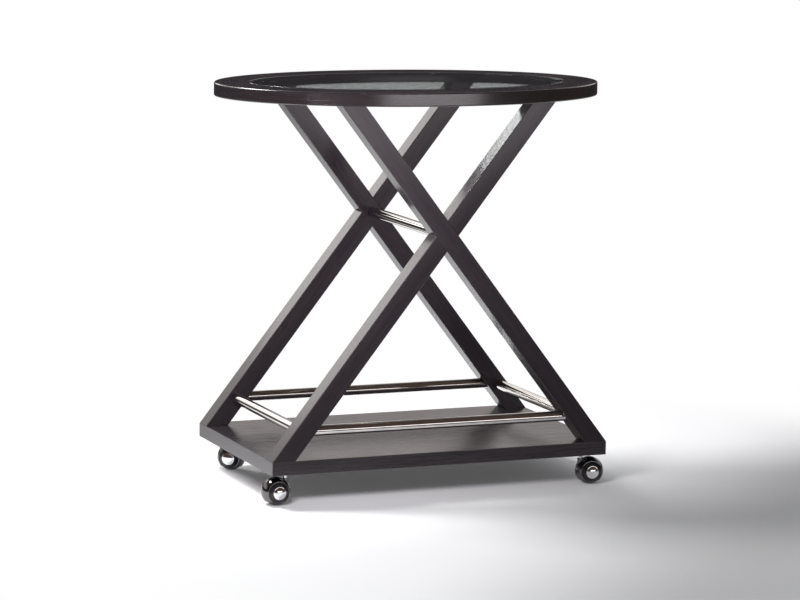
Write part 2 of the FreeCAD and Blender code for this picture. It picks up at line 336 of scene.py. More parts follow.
    def ease(self, piece: Object, width: float) -> None:
        """Round the sharp edges of a piece.

        Args:
            piece: The piece.
            width: How wide the rounding is.
        """
        self.take(piece)
        modifier = piece.modifiers.new("ease", "BEVEL")
        modifier.width = width
        modifier.segments = self.BEVEL_FACES
        modifier.limit_method = "ANGLE"
        modifier.angle_limit = self.BEVEL_ANGLE
        bpy.ops.object.modifier_apply(modifier=modifier.name)

    def combine(self, piece: Object, other: Object, operation: Combine) -> None:
        """Join another solid to a piece, or cut it away, and use the other up.

        Args:
            piece: The piece that stays.
            other: The solid that is used up.
            operation: How they are combined.
        """
        self.take(piece)
        modifier = piece.modifiers.new("combine", "BOOLEAN")
        modifier.object = other
        modifier.operation = operation.value
        modifier.solver = "EXACT"
        bpy.ops.object.modifier_apply(modifier=modifier.name)
        self.scrap(other)
        self.open(piece)
        bpy.ops.mesh.remove_doubles(threshold=WELD)
        bpy.ops.mesh.dissolve_degenerate(threshold=WELD)
        bpy.ops.object.mode_set(mode="OBJECT")

    def trim(self, piece: Object, point: Vector, normal: Vector) -> None:
        """Saw a piece through and close the cut.

        Args:
            piece: The piece.
            point: A point of the cut.
            normal: The way towards what is sawn off.
        """
        self.open(piece)
        bpy.ops.mesh.bisect(
            plane_co=point, plane_no=normal, use_fill=True, clear_outer=True, threshold=WELD / 2
        )
        bpy.ops.object.mode_set(mode="OBJECT")

    def smooth(self, piece: Object, angle: float = 32.0) -> None:
        """Shade a piece smooth, but its large faces flat.

        Args:
            piece: The piece.
            angle: Edges sharper than this stay sharp, in degrees.
        """
        self.take(piece)
        bpy.ops.object.shade_smooth_by_angle(angle=math.radians(angle))
        modifier = piece.modifiers.new("level", "WEIGHTED_NORMAL")
        modifier.mode = "FACE_AREA"
        modifier.weight = self.FACE_WEIGHT
        modifier.keep_sharp = True
        bpy.ops.object.modifier_apply(modifier=modifier.name)


def arc(centre: Point, radius: float, start: float, end: float, steps: int) -> list[Point]:
    """Return points along an arc.

    Args:
        centre: Its centre.
        radius: Its radius.
        start: Its first angle in degrees, from the first axis.
        end: Its last angle in degrees.
        steps: How many runs it has.

    Returns:
        The points, both ends included.
    """
    points = []
    for index in range(steps + 1):
        angle = math.radians(start + (end - start) * index / steps)
        points.append((centre[0] + radius * math.cos(angle), centre[1] + radius * math.sin(angle)))
    return points


# ------------------------------------------------------------------ finishes

class Nodes:
    """A node tree, with short names for the nodes that this table uses."""

    def __init__(self, tree: NodeTree) -> None:
        """Start with an empty tree, a material's or the world's."""
        self.tree = tree
        self.tree.nodes.clear()

    def link(self, source: NodeSocket, target: NodeSocket) -> None:
        """Join two sockets."""
        self.tree.links.new(source, target)

    def feed(self, socket: NodeSocket, value: NodeSocket | Colour | float) -> None:
        """Give a socket a constant, or join another socket to it.

        Args:
            socket: The socket.
            value: A colour, a number or the other socket.
        """
        if isinstance(value, NodeSocket):
            self.link(value, socket)
        else:
            socket.default_value = (*value, 1.0) if isinstance(value, tuple) else value

    def node(self, kind: str, **settings: object) -> Node:
        """Add a node and set its properties.

        Args:
            kind: The node's kind, without its ShaderNode.
            settings: Its properties by name.

        Returns:
            The node.
        """
        node = self.tree.nodes.new(f"ShaderNode{kind}")
        for key, value in settings.items():
            setattr(node, key, value)
        return node

    def span(self, value: NodeSocket, low: float, high: float, new_low: float = 0.0, new_high: float = 1.0,
             eased: bool = False) -> NodeSocket:
        """Map a value from one range to another, and clamp it.

        Args:
            value: The value.
            low: Where the first range starts.
            high: Where it ends.
            new_low: What its start becomes.
            new_high: What its end becomes.
            eased: True to start and end gently.

        Returns:
            The new value's socket.
        """
        way = "SMOOTHSTEP" if eased else "LINEAR"
        node = self.node("MapRange", clamp=True, interpolation_type=way)
        for key, number in (("From Min", low), ("From Max", high), ("To Min", new_low), ("To Max", new_high)):
            node.inputs[key].default_value = number
        self.link(value, node.inputs["Value"])
        return node.outputs["Result"]

    def mix(self, factor: NodeSocket, first: NodeSocket | Colour, second: NodeSocket | Colour) -> NodeSocket:
        """Blend two colours.

        Args:
            factor: How much of the second one shows.
            first: One colour, or its socket.
            second: The other.

        Returns:
            The blend's socket.
        """
        node = self.node("Mix", data_type="RGBA")
        self.link(factor, node.inputs["Factor"])
        for key, colour in (("A", first), ("B", second)):
            socket = next(item for item in node.inputs if item.name == key and item.type == "RGBA")
            self.feed(socket, colour)
        return next(item for item in node.outputs if item.type == "RGBA")

    def maths(self, operation: str, first: NodeSocket, second: NodeSocket | float) -> NodeSocket:
        """Work out a value from two.

        Args:
            operation: The operation's name.
            first: One value.
            second: The other, or a number.

        Returns:
            The result's socket.
        """
        node = self.node("Math", operation=operation)
        self.link(first, node.inputs[0])
        self.feed(node.inputs[1], second)
        return node.outputs["Value"]

    def blend(self, factor: NodeSocket, first: NodeSocket, second: NodeSocket) -> NodeSocket:
        """Blend two shaders.

        Args:
            factor: How much of the second one shows.
            first: One shader.
            second: The other.

        Returns:
            The blend's socket.
        """
        node = self.node("MixShader")
        for source, target in zip((factor, first, second), node.inputs):
            self.link(source, target)
        return node.outputs["Shader"]

    def part(self, vector: NodeSocket, axis: str) -> NodeSocket:
        """Return one part of a vector.

        Args:
            vector: The vector.
            axis: X, Y or Z.

        Returns:
            The part's socket.
        """
        node = self.node("SeparateXYZ")
        self.link(vector, node.inputs[0])
        return node.outputs[axis]

    def against(self, operation: str, vector: NodeSocket, fixed: Place) -> NodeSocket:
        """Work out a number from a vector and a fixed one.

        Args:
            operation: The operation's name.
            vector: The vector.
            fixed: The fixed vector.

        Returns:
            The number's socket.
        """
        node = self.node("VectorMath", operation=operation)
        self.link(vector, node.inputs[0])
        node.inputs[1].default_value = fixed
        return node.outputs["Value"]

    def glow(self, kind: str, colour: NodeSocket | Colour, strength: NodeSocket | float) -> NodeSocket:
        """Add a shader that shines by itself.

        Args:
            kind: Emission, or Background for the world.
            colour: Its colour.
            strength: How strongly it shines.

        Returns:
            The shader's socket.
        """
        node = self.node(kind)
        self.feed(node.inputs["Color"], colour)
        self.feed(node.inputs["Strength"], strength)
        return node.outputs[kind]

    def seen_by(self, *rays: str) -> NodeSocket:
        """Tell rays of some kinds from all others.

        Args:
            rays: The kinds, such as Camera.

        Returns:
            A socket that is 1 for those rays and 0 for all others.
        """
        path = self.node("LightPath")
        seen = path.outputs[f"Is {rays[0]} Ray"]
        for kind in rays[1:]:
            seen = self.maths("MAXIMUM", seen, path.outputs[f"Is {kind} Ray"])
        return seen


class Graph(Nodes):
    """A material's node graph round one shader."""

    def __init__(self, title: str) -> None:
        """Start a material with an empty graph, an output and one shader.

        Args:
            title: The material's name.
        """
        self.material: Material = bpy.data.materials.new(title)
        self.material.use_nodes = True
        super().__init__(self.material.node_tree)
        self.output = self.node("OutputMaterial")
        self.shader = self.node("BsdfPrincipled")
        self.link(self.shader.outputs["BSDF"], self.output.inputs["Surface"])

    def set(self, **values: float) -> None:
        """Set constants on the shader's own sockets, by name with _ for a space."""
        for key, value in values.items():
            self.shader.inputs[key.replace("_", " ")].default_value = value

    def place(self, turn: Sequence[float] = (0.0, 0.0, 0.0), stretch: Sequence[float] = (1.0, 1.0, 1.0),
              source: NodeSocket | None = None) -> NodeSocket:
        """Return coordinates, turned and then stretched.

        Args:
            turn: Rotation about X, Y and Z in radians.
            stretch: Scale along each axis after the turn.
            source: Coordinates to use in place of the object's own.

        Returns:
            The coordinates' socket.
        """
        vector = source or self.node("TexCoord").outputs["Object"]
        for key, amount in (("Rotation", turn), ("Scale", stretch)):
            mapping = self.node("Mapping")
            mapping.inputs[key].default_value = amount
            self.link(vector, mapping.inputs["Vector"])
            vector = mapping.outputs["Vector"]
        return vector

    def noise(self, vector: NodeSocket, scale: float, detail: float = 3.0, rough: float = 0.5,
              warp: float = 0.0) -> NodeSocket:
        """Return a noise value from 0 to 1.

        Args:
            vector: The coordinates.
            scale: How close the noise is.
            detail: How many finer layers it has.
            rough: How strong they are.
            warp: How far it is distorted.

        Returns:
            The value's socket.
        """
        node = self.node("TexNoise")
        for key, number in (("Scale", scale), ("Detail", detail), ("Roughness", rough), ("Distortion", warp)):
            node.inputs[key].default_value = number
        self.link(vector, node.inputs["Vector"])
        return node.outputs["Fac"]

    def bump(self, height: NodeSocket, strength: float, distance: float) -> None:
        """Give the shader a bump from a height.

        Args:
            height: The height's socket.
            strength: How much of it shows.
            distance: How high it is.
        """
        node = self.node("Bump")
        node.inputs["Strength"].default_value = strength
        node.inputs["Distance"].default_value = distance
        self.link(height, node.inputs["Height"])
        self.link(node.outputs["Normal"], self.shader.inputs["Normal"])

    def colour(self, source: NodeSocket) -> None:
        """Give the shader its base colour."""
        self.link(source, self.shader.inputs["Base Color"])

    def roughness(self, source: NodeSocket) -> None:
        """Give the shader its roughness."""
        self.link(source, self.shader.inputs["Roughness"])


class GrainRun(Enum):
    """Which way the grain of a wood piece runs."""

    ALONG_SHELF = "along_shelf"
    RIGHT_FOOT = "right_foot"
    LEFT_FOOT = "left_foot"
    AROUND_RIM = "around_rim"


@dataclass(frozen=True)
class Pattern:
    """A noise stretched along and across the grain, and how strongly it shows."""

    along: float
    across: float
    detail: float
    rough: float
    start: float
    end: float
    strength: float
    warp: float = 0.0

    def value(self, graph: Graph, source: NodeSocket) -> NodeSocket:
        """Return the plain noise."""
        vector = graph.place(stretch=(self.along, self.across, self.across), source=source)
        return graph.noise(vector, 1.0, self.detail, self.rough, self.warp)

    def shown(self, graph: Graph, value: NodeSocket) -> NodeSocket:
        """Return how strongly the pattern shows."""
        return graph.span(value, self.start, self.end, 0.0, self.strength)


@dataclass(frozen=True)
class EbonisedWood:
    """Dark, close-grained wood under a satin lacquer."""

    title: str
    grain: GrainRun
    lean: float = 0.0
    ground: Colour = (0.0158, 0.0118, 0.0147)
    light_line: Colour = (0.033, 0.0260, 0.0310)
    pore: Colour = (0.0050, 0.0034, 0.0042)
    worn: Colour = (0.070, 0.052, 0.052)
    roughness: float = 0.34
    specular: float = 0.12
    coat: float = 0.75
    coat_roughness: float = 0.13
    open_grain: float = 0.03
    relief: float = 0.02
    relief_height: float = 0.04 * MM
    figure: Pattern = Pattern(
        along=1.6, across=26.0, detail=4.0, rough=0.55, start=0.36, end=0.66, strength=0.55, warp=0.6
    )
    fibres: Pattern = Pattern(
        along=9.0, across=420.0, detail=3.0, rough=0.6, start=0.45, end=0.75, strength=0.55
    )
    pores: Pattern = Pattern(
        along=34.0, across=900.0, detail=2.0, rough=0.5, start=0.60, end=0.72, strength=0.9
    )
    fibre_height: float = 0.5
    cloud_scale: float = 5.0
    cloudy_edges: Span = (0.42, 0.62, 0.15, 0.85)
    cloudy_gloss: Span = (NOISE_LOW, NOISE_HIGH, -0.02, 0.03)

    def coordinates(self, graph: Graph) -> NodeSocket:
        """Return coordinates whose X runs along the grain.

        Args:
            graph: The material's graph.

        Returns:
            The coordinates' socket.
        """
        if self.grain is GrainRun.AROUND_RIM:
            return graph.place(source=graph.node("UVMap", uv_map=RimOval.GRAIN_MAP).outputs["UV"])
        turns = {
            GrainRun.ALONG_SHELF: 0.0,
            GrainRun.RIGHT_FOOT: math.pi / 2 + self.lean,
            GrainRun.LEFT_FOOT: math.pi / 2 - self.lean,
        }
        return graph.place(turn=(0.0, turns[self.grain], 0.0))

    def build(self) -> Material:
        """Build the material.

        Returns:
            The material.
        """
        graph = Graph(self.title)
        along = self.coordinates(graph)
        figure, fibres, pores = (run.value(graph, along) for run in (self.figure, self.fibres, self.pores))
        clouds = graph.noise(along, self.cloud_scale, detail=2.0)
        tone = graph.mix(self.figure.shown(graph, figure), self.ground, self.light_line)
        tone = graph.mix(self.fibres.shown(graph, fibres), tone, self.light_line)
        pitted = self.pores.shown(graph, pores)
        tone = graph.mix(pitted, tone, self.pore)
        edge = graph.node("Attribute", attribute_name=Wear.ATTRIBUTE).outputs["Fac"]
        rubbed = graph.maths("MULTIPLY", edge, graph.span(clouds, *self.cloudy_edges))
        graph.colour(graph.mix(rubbed, tone, self.worn))
        grainy = graph.span(fibres, NOISE_LOW, NOISE_HIGH, -self.open_grain, self.open_grain)
        spread = graph.maths("ADD", graph.span(clouds, *self.cloudy_gloss), grainy)
        graph.roughness(graph.maths("ADD", spread, self.roughness))
        height = graph.maths("SUBTRACT", graph.maths("MULTIPLY", fibres, self.fibre_height), pitted)
        graph.bump(height, self.relief, self.relief_height)
        graph.set(
            Specular_IOR_Level=self.specular, Coat_Weight=self.coat, Coat_Roughness=self.coat_roughness
        )
        return graph.material


@dataclass(frozen=True)
class BrightMetal:
    """Polished or plated metal with fine rubbing marks."""

    title: str
    tint: Colour
    roughness: float
    smear: float = 0.05
    dulled: float = 0.86
    dull_patches: Span = (0.4, 0.7, 0.0, 1.0)
    smear_from: float = 0.4
    smears_to: float = 0.75
    scratches_to: float = 0.8
    scratch_scale: float = 160.0
    scratch_relief: float = 0.02
    scratch_height: float = 0.05 * MM
    smear_scale: float = 22.0

    def build(self) -> Material:
        """Build the material.

        Returns:
            The material.
        """
        graph = Graph(self.title)
        scratches = graph.noise(graph.place(), self.scratch_scale, detail=4.0, rough=0.7)
        smears = graph.noise(graph.place(), self.smear_scale)
        dull = tuple(channel * self.dulled for channel in self.tint)
        graph.colour(graph.mix(graph.span(smears, *self.dull_patches), self.tint, dull))
        smeared = graph.span(smears, self.smear_from, self.smears_to, 0.0, self.smear)
        scratched = graph.span(scratches, self.smear_from, self.scratches_to, 0.0, self.smear)
        worn = graph.maths("ADD", smeared, scratched)
        graph.roughness(graph.maths("ADD", worn, self.roughness))
        graph.bump(scratches, self.scratch_relief, self.scratch_height)
        graph.set(Metallic=1.0)
        return graph.material


@dataclass(frozen=True)
class Moulded:
    """Moulded rubber or plastic with a faint texture and a little dust."""

    title: str
    shade: Colour
    dust: Colour
    roughness: float
    specular: float = 0.5
    grit_scale: float = 900.0
    grit_relief: float = 0.08
    grit_height: float = 0.05 * MM
    dust_scale: float = 70.0
    dusty_colour: Span = (0.48, 0.75, 0.0, 0.35)
    dusty_gloss: Span = (NOISE_LOW, NOISE_HIGH, -0.05, 0.10)

    def build(self) -> Material:
        """Build the material.

        Returns:
            The material.
        """
        graph = Graph(self.title)
        patches = graph.noise(graph.place(), self.dust_scale, detail=4.0, rough=0.6)
        grit = graph.noise(graph.place(), self.grit_scale, detail=2.0)
        graph.colour(graph.mix(graph.span(patches, *self.dusty_colour), self.shade, self.dust))
        graph.roughness(graph.maths("ADD", graph.span(patches, *self.dusty_gloss), self.roughness))
        graph.bump(grit, self.grit_relief, self.grit_height)
        graph.set(Specular_IOR_Level=self.specular)
        return graph.material


@dataclass(frozen=True)
class ClearSheet:
    """Clear glass, or a clear soft pad."""

    title: str
    tint: Colour
    roughness: float
    index: float = 1.5
    specular: float = 0.5
    smear: float = 0.015
    film_scale: float = 14.0
    filmy_colour: Span = (0.3, 0.8, 0.0, 0.15)
    film_from: float = 0.45
    film_to: float = 0.8

    def build(self) -> Material:
        """Build the material.

        Returns:
            The material.
        """
        graph = Graph(self.title)
        film = graph.noise(graph.place(), self.film_scale)
        graph.colour(graph.mix(graph.span(film, *self.filmy_colour), self.tint, WHITE))
        smeared = self.roughness + self.smear
        graph.roughness(graph.span(film, self.film_from, self.film_to, self.roughness, smeared))
        graph.set(Transmission_Weight=1.0, IOR=self.index, Specular_IOR_Level=self.specular)
        return graph.material


# ---------------------------------------------------------------- marking up

class Wear:
    """Marks the narrow faces along a piece's edges, where a finish rubs thin."""

    ATTRIBUTE = "edge_wear"
    # A face narrower than this many times the rounding counts as part of it.
    REACH = 2.0

    def mark(self, mesh: Mesh, ease: float) -> None:
        """Mark the faces that easing the edges has made.

        Args:
            mesh: The piece's mesh.
            ease: How wide the rounding of its edges is.
        """
        layer = mesh.attributes.new(self.ATTRIBUTE, "FLOAT", "FACE")
        for face in mesh.polygons:
            longest = max(self.length(mesh, key) for key in face.edge_keys)
            layer.data[face.index].value = 1.0 if face.area < self.REACH * ease * longest else 0.0

    @staticmethod
    def length(mesh: Mesh, key: tuple[int, int]) -> float:
        """Return how long an edge of a mesh is."""
        return (mesh.vertices[key[0]].co - mesh.vertices[key[1]].co).length


@dataclass
class RimOval:
    """The grain's path round the oval rim."""

    GRAIN_MAP = "grain"

    half_length: float
    half_depth: float
    boards: int = 4
    board_shift: Point = (3.7, 1.3)

    def unwrap(self, mesh: Mesh) -> None:
        """Give every corner its way along the rim and in from its edge.

        The rim is glued up from boards, each with grain of its own, so each
        board's map is moved away from the others'.

        Args:
            mesh: The rim's mesh.
        """
        layer = mesh.uv_layers.new(name=self.GRAIN_MAP)
        sweep = math.tau / self.boards
        mean_radius = (self.half_length + self.half_depth) / 2
        for face in mesh.polygons:
            middle = self.angle(face.center)
            board = math.floor((middle + sweep / 2) / sweep) % self.boards
            shift, drop = self.board_shift[0] * board, self.board_shift[1] * board
            for loop_index in face.loop_indices:
                point = mesh.vertices[mesh.loops[loop_index].vertex_index].co
                angle = self.angle(point)
                angle += math.tau * round((middle - angle) / math.tau)
                reach = math.hypot(point.x / self.half_length, point.y / self.half_depth)
                across = (1.0 - reach) * self.half_depth - point.z
                layer.data[loop_index].uv = (angle * mean_radius + shift, across + drop)

    def angle(self, point: Vector) -> float:
        """Return how far round the oval a point lies, in radians."""
        return math.atan2(point.y / self.half_depth, point.x / self.half_length)


# ------------------------------------------------------------ sub-assemblies

@dataclass
class Palette:
    """Every finish of the table, built once."""

    lean: float
    made: dict[str, Material] = field(default_factory=dict)

    def mix(self) -> None:
        """Build all the materials."""
        finishes = [
            EbonisedWood("shelf_wood", GrainRun.ALONG_SHELF, roughness=0.30, specular=0.4, coat=0.35,
                         coat_roughness=0.24, open_grain=0.12, relief=0.05),
            EbonisedWood("right_foot_wood", GrainRun.RIGHT_FOOT, self.lean),
            EbonisedWood("left_foot_wood", GrainRun.LEFT_FOOT, self.lean),
            # The rim's wood has a darker ground and light line than the bars' wood. This is painted shade on
            # every rim face that is not level, standing in for less light there. Its level top keeps the
            # bars' colours.
            EbonisedWood("rim_wood_painted_shade", GrainRun.AROUND_RIM, ground=(0.0100, 0.0075, 0.0088),
                         light_line=(0.0215, 0.0168, 0.0190), roughness=0.25, specular=1.0,
                         coat=1.0, coat_roughness=0.20),
            EbonisedWood("rim_face_wood", GrainRun.AROUND_RIM, roughness=0.09, specular=0.3, coat=0.0),
            BrightMetal("polished_tube", tint=(0.80, 0.775, 0.74), roughness=0.06),
            BrightMetal("caster_chrome", tint=(0.82, 0.82, 0.83), roughness=0.05),
            # The hood's chrome is a darkened copy of the caster chrome: painted shade standing in for the
            # dark surroundings that the hood mirrors.
            BrightMetal("hood_chrome_painted_dark", tint=(0.17, 0.163, 0.165), roughness=0.07),
            BrightMetal("zinc_plate", tint=(0.62, 0.61, 0.58), roughness=0.28, smear=0.12),
            Moulded("black_tread", shade=(0.0095, 0.0095, 0.010), dust=(0.05, 0.048, 0.045), roughness=0.30),
            Moulded("black_hub", shade=(0.012, 0.012, 0.013), dust=(0.03, 0.03, 0.03), roughness=0.18),
            ClearSheet("clear_glass", tint=(0.93, 0.98, 0.965), roughness=0.0, smear=0.0),
            ClearSheet("glass_edge", tint=(0.18, 0.62, 0.53), roughness=0.22),
            ClearSheet("clear_pad", tint=(0.9, 0.93, 0.93), roughness=0.25, index=1.41),
        ]
        for finish in finishes:
            self.made[finish.title] = finish.build()

    def dress(self, piece: Object, *titles: str) -> None:
        """Replace a piece's materials.

        Args:
            piece: A new piece or a node of the frame.
            titles: The finishes for its material slots in turn.
        """
        piece.data.materials.clear()
        for title in titles:
            piece.data.materials.append(self.made[title])


@dataclass
class Fitting:
    """What every sub-assembly shares."""

    bench: Workbench
    palette: Palette

    def finish(self, piece: Object, body: str, node: str, slot: str, titles: Sequence[str]) -> None:
        """Dress a piece, set it on its body and let it stand for its node.

        Args:
            piece: The piece.
            body: The body that it rides on.
            node: The frame's node that it replaces.
            slot: The record's material slot; not used.
            titles: Its finishes.
        """
        self.palette.dress(piece, *titles)
        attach(piece, body)
        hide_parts(node)
        LOG.info("%s: %d faces, on %s", piece.name, len(piece.data.polygons), body)


@dataclass
class OvalTop(Fitting):
    """The wood rim and the glass panel that lies in it."""

    # Where a rounded edge's middle lies, as a share of its width.
    ROUNDING = 0.3

    edge_radius: float = 2.5 * MM
    ledge_width: float = 34.0 * MM
    glass_gap: float = 1.0 * MM
    arris: float = 0.9 * MM
    inner_ease: float = 1.2 * MM

    def build(self) -> None:
        """Model the rim and the glass."""
        low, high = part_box("top_ring")
        self.half = Vector((high.x, high.y))
        self.low_z = low.z
        self.top_z = high.z
        glass_low, glass_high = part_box("glass_panel")
        pad_low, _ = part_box("glass_pads")
        self.glass_inset = high.x - glass_high.x
        self.glass_z = glass_low.z
        self.rebate_z = pad_low.z
        self.build_rim()
        self.build_glass()

    def rim_stations(self) -> list[Point]:
        """Draw the rim's outline, from its outer face over the top and round.

        Returns:
            How far inside the oval, and how high, each point lies.
        """
        radius, ease = self.edge_radius, self.inner_ease
        round_in = ease * self.ROUNDING
        rebate = self.glass_inset - self.glass_gap
        opening = rebate + self.ledge_width
        upper = arc(ORIGIN, radius, 0.0, 90.0, steps=6)
        lower = arc(ORIGIN, radius, 270.0, 360.0, steps=6)[:-1]
        stations = [(0.0, self.low_z + radius)]
        stations += [(radius - x, self.top_z - radius + z) for x, z in upper]
        stations += [(rebate - ease, self.top_z), (rebate - round_in, self.top_z - round_in)]
        stations += [(rebate, self.top_z - ease), (rebate, self.rebate_z), (opening - ease, self.rebate_z)]
        stations += [(opening - round_in, self.rebate_z - round_in), (opening, self.rebate_z - ease)]
        stations += [(opening, self.low_z + ease), (opening - ease, self.low_z)]
        stations += [(radius - x, self.low_z + radius + z) for x, z in lower]
        stations += [stations[0]]
        return stations

    def build_rim(self) -> None:
        """Model the oval rim with its rebate."""
        rim = self.bench.oval("oval_rim", self.half, self.rim_stations(), solid=False)
        RimOval(self.half.x, self.half.y).unwrap(rim.data)
        self.bench.smooth(rim)
        self.finish(rim, "table", "top_ring", "dark_wood", ["rim_wood_painted_shade", "rim_face_wood"])
        # Faces that are not level take the rim wood darkened with painted shade; level faces take the plain
        # rim face wood.
        for face in rim.data.polygons:
            face.material_index = 1 if face.normal.z > LEVEL else 0

    def build_glass(self) -> None:
        """Model the glass panel with its ground arris."""
        inset, arris = self.glass_inset, self.arris
        stations = [
            (inset + arris, self.glass_z),
            (inset, self.glass_z + arris),
            (inset, self.top_z - arris),
            (inset + arris, self.top_z),
        ]
        glass = self.bench.oval("glass_top", self.half, stations, solid=True)
        self.bench.smooth(glass)
        self.finish(glass, "table", "glass_panel", "clear_glass", ["clear_glass", "glass_edge"])
        for face in glass.data.polygons:
            face.material_index = 0 if abs(face.normal.z) > LEVEL else 1


@dataclass
class CrossedFrames(Fitting):
    """The four slanting bars, half lapped in pairs."""

    bar_width: float = 36.0 * MM
    lap_clearance: float = 0.1 * MM
    lap_past: float = 10.0 * MM
    tube_fit: float = 0.15 * MM
    long_edge: float = 1.4 * MM

    def build(self) -> None:
        """Model the bars of both frames."""
        for frame, outward in (("front", -1), ("back", 1)):
            for foot, side in (("left", -1), ("right", 1)):
                self.build_bar(frame, outward, foot, side)

    @staticmethod
    def lean_of(bar_width: float) -> float:
        """Return how far the bars lean from upright, in radians.

        Args:
            bar_width: How wide a bar is.

        Returns:
            The angle.
        """
        low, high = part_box("front_bar_right_foot")
        spread, rise = high.x - low.x, high.z - low.z
        return math.acos(bar_width / math.hypot(spread, rise)) - math.atan2(rise, spread)

    def stick(self, title: str, node: str, side: int, y_from: float, y_to: float,
              margin: float = 0.0) -> Object:
        """Add a slanting stick, longer than its bar, between two depths.

        Args:
            title: The stick's name.
            node: The bar whose middle line it follows.
            side: 1 for a foot at the right, -1 for one at the left.
            y_from: One depth.
            y_to: The other depth.
            margin: How much wider it is on each side.

        Returns:
            The stick.
        """
        low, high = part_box(node)
        middle = (low + high) / 2
        length = (high - low).length
        half = Vector((self.bar_width / 2 + margin, abs(y_to - y_from) / 2, length / 2))
        middle.y = (y_from + y_to) / 2
        return self.bench.block(title, middle - half, middle + half, lean=-side * self.palette.lean)

    def build_bar(self, frame: str, outward: int, foot: str, side: int) -> None:
        """Model one bar: stick, eased edges, sawn ends, lap and sockets.

        Args:
            frame: front or back.
            outward: -1 for the front frame, 1 for the back one.
            foot: left or right, where the bar's foot is.
            side: -1 for a foot at the left, 1 for one at the right.
        """
        node = f"{frame}_bar_{foot}_foot"
        other = f"{frame}_bar_{'left' if side > 0 else 'right'}_foot"
        low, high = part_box(node)
        outer, inner = (low.y, high.y) if outward < 0 else (high.y, low.y)
        middle = (outer + inner) / 2
        bar = self.stick(f"{frame}_{foot}_foot_bar", node, side, inner, outer)
        self.bench.ease(bar, self.long_edge)
        Wear().mark(bar.data, self.long_edge)
        self.bench.trim(bar, UP * high.z, UP)
        self.bench.trim(bar, UP * low.z, -UP)
        half_gap = outward * self.lap_clearance / 2
        past = outward * self.lap_past
        if side == -outward:
            span = (inner - past, middle + half_gap)
        else:
            span = (middle - half_gap, outer + past)
        lap = self.stick("lap_tool", other, -side, *span, margin=self.lap_clearance)
        self.bench.combine(bar, lap, Combine.CUT)
        for tube in ("cross_stretcher", "left_rail", "right_rail", f"{frame}_rail"):
            self.bench.combine(bar, self.socket_tool(tube), Combine.CUT)
        self.bench.smooth(bar)
        self.finish(bar, "table", node, "dark_wood", [f"{foot}_foot_wood"])

    def socket_tool(self, tube: str) -> Object:
        """Add a rod as long as a tube and wider by its fit.

        Args:
            tube: The tube's node.

        Returns:
            The rod.
        """
        low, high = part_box(tube)
        start, end = tube_ends(low, high)
        radius = (high.z - low.z) / 2 + self.tube_fit
        return self.bench.rod("socket_tool", start, end, radius, sides=64)


def tube_ends(low: Vector, high: Vector) -> tuple[Vector, Vector]:
    """Return the middles of the ends of a level tube.

    Args:
        low: The lowest corner of its box.
        high: The highest corner.

    Returns:
        The middles of both ends.
    """
    middle = (low + high) / 2
    half = (high - low) / 2
    reach = Vector((half.x, 0.0, 0.0)) if half.x > half.y else Vector((0.0, half.y, 0.0))
    return middle - reach, middle + reach


@dataclass
class Shelf(Fitting):
    """The wood shelf with its screw and socket holes."""

    edge: float = 1.1 * MM
    head_radius: float = 5.05 * MM
    head_depth: float = 3.5 * MM
    socket_radius: float = 5.55 * MM
    screw_spread: float = 12.0 * MM

    def build(self) -> None:
        """Model the shelf."""
        low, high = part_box("shelf_panel")
        shelf = self.bench.block("shelf_board", low, high)
        self.bench.ease(shelf, self.edge)
        Wear().mark(shelf.data, self.edge)
        under = low.z - self.head_depth
        for corner in CORNERS:
            socket_low, socket_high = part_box(f"caster_{corner}_socket")
            middle = (socket_low + socket_high) / 2
            self.drill(shelf, middle, under, socket_high.z, self.socket_radius, sides=48)
        for place in self.screw_places():
            self.drill(shelf, place, under, low.z + self.head_depth, self.head_radius, sides=32)
        self.bench.smooth(shelf)
        self.finish(shelf, "table", "shelf_panel", "dark_wood", ["shelf_wood"])

    def drill(self, shelf: Object, place: Vector, start: float, end: float, radius: float,
              sides: int) -> None:
        """Drill an upright hole at a place, between two heights."""
        foot, head = Vector((place.x, place.y, start)), Vector((place.x, place.y, end))
        self.bench.combine(shelf, self.bench.rod("drill", foot, head, radius, sides), Combine.CUT)

    def screw_places(self) -> list[Vector]:
        """Find the foot screws among the frame's own pieces.

        Returns:
            The middle of each screw.
        """
        screws: dict[tuple[int, int], list[Vector]] = {}
        for vertex in bpy.data.objects["foot_screws"].data.vertices:
            cell = (round(vertex.co.x / self.screw_spread), round(vertex.co.y / self.screw_spread))
            near = [other for other in screws if max(abs(other[0] - cell[0]), abs(other[1] - cell[1])) <= 1]
            screws.setdefault(near[0] if near else cell, []).append(vertex.co.copy())
        places = []
        for points in screws.values():
            low = Vector(min(point[axis] for point in points) for axis in range(3))
            high = Vector(max(point[axis] for point in points) for axis in range(3))
            places.append((low + high) / 2)
        return places


@dataclass
class TubeWork(Fitting):
    """The stretcher between the crossings and the four gallery rails."""

    wall: float = 1.5 * MM
    end_ease: float = 0.5 * MM
    tubes: tuple[str, ...] = ("cross_stretcher", "front_rail", "back_rail", "left_rail", "right_rail")

    def build(self) -> None:
        """Model every tube."""
        for node in self.tubes:
            low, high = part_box(node)
            start, end = tube_ends(low, high)
            radius = (high.z - low.z) / 2
            tube = self.bench.lathe(f"{node}_tube", self.outline(radius, (end - start).length), closed=True)
            turn = (end - start).to_track_quat("Z", "Y").to_matrix().to_4x4()
            self.bench.place(tube, Matrix.Translation(start) @ turn)
            self.bench.smooth(tube)
            self.finish(tube, "table", node, "polished_steel", ["polished_tube"])

    def outline(self, radius: float, length: float) -> list[Point]:
        """Return the section of a tube's wall, with eased ends.

        Args:
            radius: The tube's outer radius.
            length: Its length.

        Returns:
            Radius and height of each point.
        """
        ease = self.end_ease
        bore = radius - self.wall
        return [
            (bore, 0.0), (radius - ease, 0.0), (radius, ease),
            (radius, length - ease), (radius - ease, length), (bore, length),
        ]


